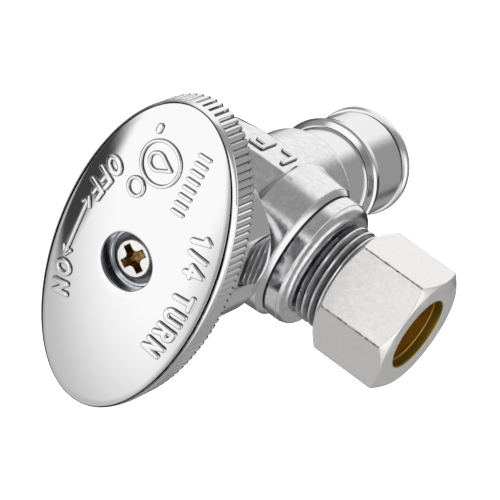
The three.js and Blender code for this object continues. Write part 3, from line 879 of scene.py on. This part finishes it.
def nose_radius(station, height):
    """Outside of the thread, which fades in after the shoulder and out at the end chamfer."""
    thread = THREAD_ROOT + THREAD_DEPTH * height
    run_in = THREAD_ROOT + RUN_IN * (station - THREAD_START)
    run_out = THREAD_ROOT + NOSE_END - station
    return np.minimum(thread, np.minimum(run_in, run_out))


def threaded_shell(start, stop):
    """Rows that follow the helix; those beyond either end gather on that end's circle."""
    per_turn = len(THREAD_SHAPE)
    turns = math.ceil((stop - start) / THREAD_PITCH) + 1
    share = np.array([s for s, _ in THREAD_SHAPE])
    height = np.array([h for _, h in THREAD_SHAPE])
    rows = (np.arange(turns)[:, None] + share).ravel()[:, None] - 1
    angle = np.arange(SEGMENTS)[None, :] * TURN / SEGMENTS
    station = np.clip(start + THREAD_PITCH * (rows + angle / TURN), start, stop)
    radius = nose_radius(station, np.tile(height, turns)[:, None])
    index = np.arange(rows.size * SEGMENTS).reshape(rows.size, SEGMENTS)
    after = np.roll(index, -1, axis=1)
    last = np.full(per_turn, rows.size - 1)
    after[:, -1] = index[np.concatenate([np.arange(per_turn, rows.size), last]), 0]
    faces = np.stack([index[:-1], after[:-1], after[1:], index[1:]], -1)
    return polar(radius, angle, station, "z").reshape(-1, 3), faces.reshape(-1, 4)


def nose():
    """Chamfered ring, groove, collar, round shoulder, thread and tube socket."""
    shoulder = [(SHOULDER_RADIUS + SHOULDER_SIZE[0] * math.cos(angle),
                 COLLAR_END + 0.06 + SHOULDER_SIZE[1] * math.sin(angle), 0.05)
                for angle in np.linspace(0, TURN / 4, 9)]
    outer = rounded([
        JOINT, (9.4, JOINT[1]), (RING_RADIUS, TOWER_CUT + 0.02, 0.03),
        (9.14, GROOVE_START - 0.05, 0.04), (GROOVE_RADIUS, GROOVE_START, 0.02),
        (GROOVE_RADIUS, COLLAR_START - 0.05, 0.02), (COLLAR_RADIUS, COLLAR_START, 0.08),
        (COLLAR_RADIUS, COLLAR_END, 0.06), *shoulder, (THREAD_ROOT, THREAD_START, 0.0),
    ])
    inner = rounded([
        (THREAD_ROOT, NOSE_END, 0.0), (6.1, NOSE_END, 0.1), (TUBE_SOCKET, NOSE_END - 1.8, 0.1),
        (TUBE_SOCKET, TUBE_STOP, 0.05), (OUTLET_BORE, TUBE_STOP, 0.1),
        (OUTLET_BORE, TOWER_CUT - 0.16, 0.0), (*JOINT, 0.0),
    ])
    return join_shells(lathe(outer, "z", SEGMENTS, closed=False),
                       threaded_shell(THREAD_START, NOSE_END),
                       lathe(inner, "z", SEGMENTS, closed=False))


def on_thread(x, y, z):
    """The thread's roots and the lower half of its flanks."""
    return (np.hypot(x, y) < THREAD_ROOT + 0.55 * THREAD_DEPTH) & (z > THREAD_START)


def in_groove_or_root(x, y, z):
    radius = np.hypot(x, y)
    groove = (radius < GROOVE_RADIUS + 0.15) & (z > GROOVE_START - 0.1) & (z < COLLAR_START)
    return groove | ((radius < THREAD_ROOT + 0.22) & (z > THREAD_START))


outlet_nose = add_piece("body_nose", nose(), "valve", TURNED_OUTLET, sharp=28)
finish_faces(outlet_nose, FORGED,
             lambda x, y, z: (z > COLLAR_START - 0.02) & (z < THREAD_START - 0.02))
# Painted shade: the thread's roots and lower flanks are grey plating.
finish_faces(outlet_nose, THREAD_SHADE, on_thread)
# Painted shade: the groove before the collar and the thread's deepest roots are near-black.
finish_faces(outlet_nose, CREVICE_SHADE, in_groove_or_root)
finish_faces(outlet_nose, BORE_BRASS, lambda x, y, z: np.hypot(x, y) < THREAD_ROOT - 0.1)

# ---- inlet barrel ----
BARREL_RADIUS = 7.0
TIP_RADIUS = 7.25
RIDGE_RADIUS = barb_high[0]
RIDGE_START = 19.75  # foot of the steep side; the long slope faces the open end
LIP_RADIUS = 7.65
LIP_START = 28.85
INLET_END = barb_high[1]
INLET_BORE = 4.6
STUB_RADIUS = 6.45  # the part of the tailpiece inside the body
ORING_GROOVE = (5.5, 10.4, 12.2)  # radius, start and stop

ridge = [
    (BARREL_RADIUS, RIDGE_START - 0.2, 0.02), (BARREL_RADIUS - 0.14, RIDGE_START - 0.17, 0.02),
    (BARREL_RADIUS - 0.14, RIDGE_START - 0.03, 0.02), (BARREL_RADIUS + 0.1, RIDGE_START, 0.05),
    (RIDGE_RADIUS - 0.25, RIDGE_START + 0.4, 0.25), (RIDGE_RADIUS, RIDGE_START + 0.7, 0.2),
    (RIDGE_RADIUS - 0.22, RIDGE_START + 1.8, 0.15), (TIP_RADIUS, RIDGE_START + 2.35, 0.12),
]
barrel_profile = rounded([
    (INLET_BORE, barb_low[1], 0.2), (STUB_RADIUS, barb_low[1], 0.2), (STUB_RADIUS, ORING_GROOVE[1]),
    ORING_GROOVE[:2], ORING_GROOVE[::2], (STUB_RADIUS, ORING_GROOVE[2]),
    (STUB_RADIUS, BOSS_END, 0.02), (BARREL_RADIUS, BOSS_END, 0.05), *ridge,
    (TIP_RADIUS, LIP_START - 0.25, 0.03), (TIP_RADIUS - 0.2, LIP_START - 0.15, 0.03),
    (TIP_RADIUS - 0.2, LIP_START + 0.15, 0.03), (LIP_RADIUS - 0.15, LIP_START + 0.25, 0.1),
    (LIP_RADIUS, 29.6, 0.3), (LIP_RADIUS, INLET_END, 0.4), (INLET_BORE, INLET_END, 0.35),
], steps=6)


def in_barrel_grooves(x, y, z):
    radius = np.hypot(x, z)
    foot = (radius < BARREL_RADIUS - 0.02) & (np.abs(y - RIDGE_START + 0.1) < 0.14)
    under_lip = (radius < TIP_RADIUS - 0.03) & (np.abs(y - LIP_START) < 0.2)
    return (foot | under_lip) & (radius > 6.6)


barrel = add_piece("inlet_barrel", lathe(barrel_profile, "y"), "valve",
                   TURNED_BARREL, replaces=["inlet_barb"])
# Painted shade: the grooves at the ridge's foot and under the lip are near-black.
finish_faces(barrel, CREVICE_SHADE, in_barrel_grooves)

# ---- compression nut and ferrule ----
NUT_HALF_FLATS = 7.95
NUT_TURNED = math.radians(28)
NUT_EDGE = 0.14  # radius on the corners
NUT_FACE = 7.8  # radius where the chamfer meets an end face
CHAMFER_SLOPE = math.tan(math.radians(30))
TUBE_RADIUS = 4.78
NUT_HOLE = 5.05
NUT_BORE = 7.44
CONE = (6.6, 24.3, 27.0)  # presses on the ferrule: widest radius, start and stop
SLEEVE_RADIUS = 4.98  # the ferrule's thin front sleeve, inside the nut's hole
SLEEVE_END = 27.4


def nut_outline(angle):
    """Distance from the axis to the hexagon with rounded corners."""
    from_corner = (angle - NUT_TURNED + TURN / 12) % (TURN / 6) - TURN / 12
    flat = NUT_HALF_FLATS / np.cos(TURN / 12 - np.abs(from_corner))
    centre = (NUT_HALF_FLATS - NUT_EDGE) / math.cos(TURN / 12)
    reach = NUT_EDGE ** 2 - (centre * np.sin(from_corner)) ** 2
    corner = centre * np.cos(from_corner) + np.sqrt(np.maximum(reach, 0))
    tangent = math.atan2(NUT_EDGE / 2, centre + NUT_EDGE * math.cos(TURN / 12))
    return np.where(np.abs(from_corner) < tangent, corner, flat)


def nut():
    """The chamfered hexagon and its bore, with angles that gather at the corners."""
    step = np.linspace(-1, 1, 33)[:-1]
    step = np.sign(step) * np.abs(step) ** 1.7
    angle = (np.arange(6)[:, None] * TURN / 6 + NUT_TURNED + step * TURN / 12).ravel()
    outline = nut_outline(angle)
    back, front = nut_low[2], nut_high[2]
    drop = (outline - NUT_FACE) * CHAMFER_SLOPE
    ones = np.ones_like(angle)
    rows = [
        (NUT_FACE * ones, back * ones), (outline - 0.07, back + drop - 0.04),
        (outline - 0.02, back + drop + 0.01), (outline, back + drop + 0.07),
        (outline, front - drop - 0.07), (outline - 0.02, front - drop - 0.01),
        (outline - 0.07, front - drop + 0.04), ((NUT_FACE + 0.03) * ones, (front - 0.03) * ones),
        ((NUT_FACE - 0.06) * ones, front * ones),
    ]
    bore = rounded([
        (NUT_FACE - 0.06, front, 0.0), (NUT_HOLE, front, 0.2), (NUT_HOLE, CONE[2], 0.1),
        (*CONE[:2], 0.1), (NUT_BORE, CONE[1], 0.05), (NUT_BORE, back + 0.5, 0.1),
        (NUT_FACE, back, 0.0),
    ])
    outside = np.concatenate([polar(r, angle, s, "z") for r, s in rows])
    inside = np.concatenate([polar(r * ones, angle, s, "z") for r, s in bore])
    return join_shells((outside, ring_faces(len(rows), len(angle), closed=False)),
                       (inside, ring_faces(len(bore), len(angle), closed=False)))


def in_nut_bore(x, y, z):
    radius = np.hypot(x, y)
    threaded = (radius < NUT_BORE + 0.06) & (z > nut_low[2] + 0.45) & (z < CONE[2] + 0.1)
    return (radius < NUT_HOLE + 0.12) | threaded


nut_piece = add_piece("compression_nut_visual", nut(), "outlet_nut", NICKEL,
                      replaces=["compression_nut"], sharp=40)
finish_faces(nut_piece, DARK_BRASS, in_nut_bore)
# Painted reflection: the nut's rounded corners get a dark line.
finish_faces(nut_piece, PAINTED_EDGE_REFLECTION, lambda x, y, z: np.hypot(x, y) > nut_high[1] - 0.06)

ferrule_profile = rounded([
    (TUBE_RADIUS, ferrule_low[2], 0.05), (5.1, ferrule_low[2], 0.1), (ferrule_high[0], 24.0, 0.8),
    (5.28, ferrule_high[2], 0.1), (SLEEVE_RADIUS, ferrule_high[2] + 0.1, 0.05),
    (SLEEVE_RADIUS, SLEEVE_END, 0.05), (TUBE_RADIUS, SLEEVE_END, 0.08),
])
add_piece("ferrule_visual", lathe(ferrule_profile, "z"), "ferrule_ring",
          FERRULE_BRASS, replaces=["ferrule"])

# ---- inner parts that keep their CAD shape ----
INNER_PARTS = {
    CHROME: ["ball"],
    PLAIN_BRASS: ["stem", "packing_nut", "packing_follower"],
    STEEL: ["screw_lock_washer"],
    PTFE: ["inlet_seat", "outlet_seat", "front_seat", "stem_thrust_washer",
           "packing_ring_lower", "packing_ring_upper"],
    RUBBER: ["inlet_barb_oring", "inlet_seat_oring", "outlet_seat_oring"],
}
for surface, nodes in INNER_PARTS.items():
    for node in nodes:
        part = frame["nodes"][node]
        part.data.materials.clear()
        part.data.materials.append(surface)

# ---- studio ----
scene = bpy.context.scene
scene.view_settings.view_transform = "Standard"

FLOOR_DROP = 0.25  # the pipe holds the valve, so the floor is well below it
FLOOR_SIZE = 12.0
floor_material = Surface("pale_floor", (0.93, 0.93, 0.93), 0, 0.6)
floor_material.vary_roughness(floor_material.noise(40), 0.55, 0.7)
floor_mesh = bpy.data.meshes.new("floor")
half = FLOOR_SIZE / 2
corners = [(-half, -half, 0), (half, -half, 0), (half, half, 0), (-half, half, 0)]
floor_mesh.from_pydata(corners, [], [(0, 1, 2, 3)])
floor_mesh.materials.append(floor_material.material)
floor = bpy.data.objects.new("floor", floor_mesh)
floor.location.z = -FLOOR_DROP
floor.visible_glossy = False
scene.collection.objects.link(floor)


# The studio is a grey room with soft white and dark cards. Compass directions are degrees from
# +Y towards +X, and heights are degrees above the horizon.
def height_edge(height, up, soft):
    """The side of a card that is covered above (up = 1) or below (up = -1) a height."""
    near, far = (math.sin(math.radians(height + side * up * soft)) for side in (-1, 1))
    return (0, 0, up), up * near, up * far


def card(level, compass, heights, soft=(6, 6, 6)):
    """A card between two compass directions and two heights.

    soft is half the width of its first, last and level edges, in degrees.
    """
    sides = []
    for direction, inward, spread in zip(compass, (90, -90), soft):
        angle = math.radians(direction + inward)
        edge = math.sin(math.radians(spread))
        sides.append(((math.sin(angle), math.cos(angle), 0), -edge, edge))
    sides += [height_edge(heights[0], 1, soft[2]), height_edge(heights[1], -1, soft[2])]
    return level, sides


ROOM = 0.33
# Each card is (brightness, sides), and later cards cover earlier ones.
CARDS = [
    (1.1, [height_edge(50, 1, 8)]),
    card(1.12, (-185, -128), (-42, 4)),
    card(1.0, (-72, 8), (-38, 8), soft=(10, 4, 9)),
    card(0.5, (80, 122), (-45, 5), soft=(6, 6, 8)),
    card(0.15, (20, 75), (-28, 2), soft=(4, 8, 5)),
    card(0.04, (5, 27), (-28, 24), soft=(3, 4, 4)),
    card(1.05, (130, 190), (-66, 12), soft=(18, 5, 10)),
    card(0.05, (127, 156), (-85, -44.3), soft=(2, 6, 2.5)),
    card(0.22, (198, 224), (8, 30), soft=(5, 5, 6)),
    (0.12, [height_edge(-64, -1, 8)]),
]
world = bpy.data.worlds.new("studio")
scene.world = world
world.use_nodes = True
tree = world.node_tree
direction = tree.nodes.new("ShaderNodeTexCoord").outputs["Generated"]


def side_cover(axis, start, full):
    """0 to 1 as the direction's part along the axis goes from start to full."""
    dot = tree.nodes.new("ShaderNodeVectorMath")
    dot.operation = "DOT_PRODUCT"
    dot.inputs[1].default_value = Vector(axis).normalized()
    tree.links.new(direction, dot.inputs[0])
    edge = tree.nodes.new("ShaderNodeMapRange")
    edge.interpolation_type = "SMOOTHSTEP"
    edge.inputs["From Min"].default_value = start
    edge.inputs["From Max"].default_value = full
    tree.links.new(dot.outputs["Value"], edge.inputs["Value"])
    return edge.outputs["Result"]


def product(first, second):
    both = tree.nodes.new("ShaderNodeMath")
    both.operation = "MULTIPLY"
    tree.links.new(first, both.inputs[0])
    tree.links.new(second, both.inputs[1])
    return both.outputs["Value"]


colour = None
for level, sides in CARDS:
    mix = tree.nodes.new("ShaderNodeMix")
    mix.data_type = "RGBA"
    mix.inputs["A"].default_value = (ROOM, ROOM, ROOM, 1)
    mix.inputs["B"].default_value = (level, level, level, 1)
    if colour is not None:
        tree.links.new(colour, mix.inputs["A"])
    cover = reduce(product, [side_cover(*side) for side in sides])
    tree.links.new(cover, mix.inputs["Factor"])
    colour = mix.outputs["Result"]
tree.links.new(colour, tree.nodes["Background"].inputs["Color"])
tree.nodes["Background"].inputs["Strength"].default_value = 1.0

SOFTBOX_SIZE = 3.0
SOFTBOX_POWER = 110
SOFTBOX_PLACE = (0.3, 0.3, 2.2)
softbox = bpy.data.lights.new("overhead_softbox", "AREA")
softbox.shape = "DISK"
softbox.size = SOFTBOX_SIZE
softbox.energy = SOFTBOX_POWER
overhead = bpy.data.objects.new("overhead_softbox", softbox)
overhead.location = SOFTBOX_PLACE
overhead.visible_glossy = False
scene.collection.objects.link(overhead)

# ---- camera ----
AZIMUTH = math.radians(-30.137)
ELEVATION = math.radians(19.198)
ROLL = math.radians(126.088)
DISTANCE = 384.9
AIM = (3.95, -0.97, 3.29)  # what the camera looks at, local millimetres
LENS = 213.1

back = Vector((math.sin(AZIMUTH) * math.cos(ELEVATION), -math.cos(AZIMUTH) * math.cos(ELEVATION),
               math.sin(ELEVATION)))
level_right = Vector((math.cos(AZIMUTH), math.sin(AZIMUTH), 0))
level_up = back.cross(level_right)
right = level_right * math.cos(ROLL) + level_up * math.sin(ROLL)
up = back.cross(right)
camera_data = bpy.data.cameras.new("camera")
camera_data.lens = LENS
camera_data.clip_start = 10 * MM
camera = bpy.data.objects.new("camera", camera_data)
place_at = Vector(ORIGIN) + (Vector(AIM) + back * DISTANCE) * MM
camera.matrix_world = Matrix.Translation(place_at) @ Matrix((right, up, back)).transposed().to_4x4()
scene.collection.objects.link(camera)
scene.camera = camera
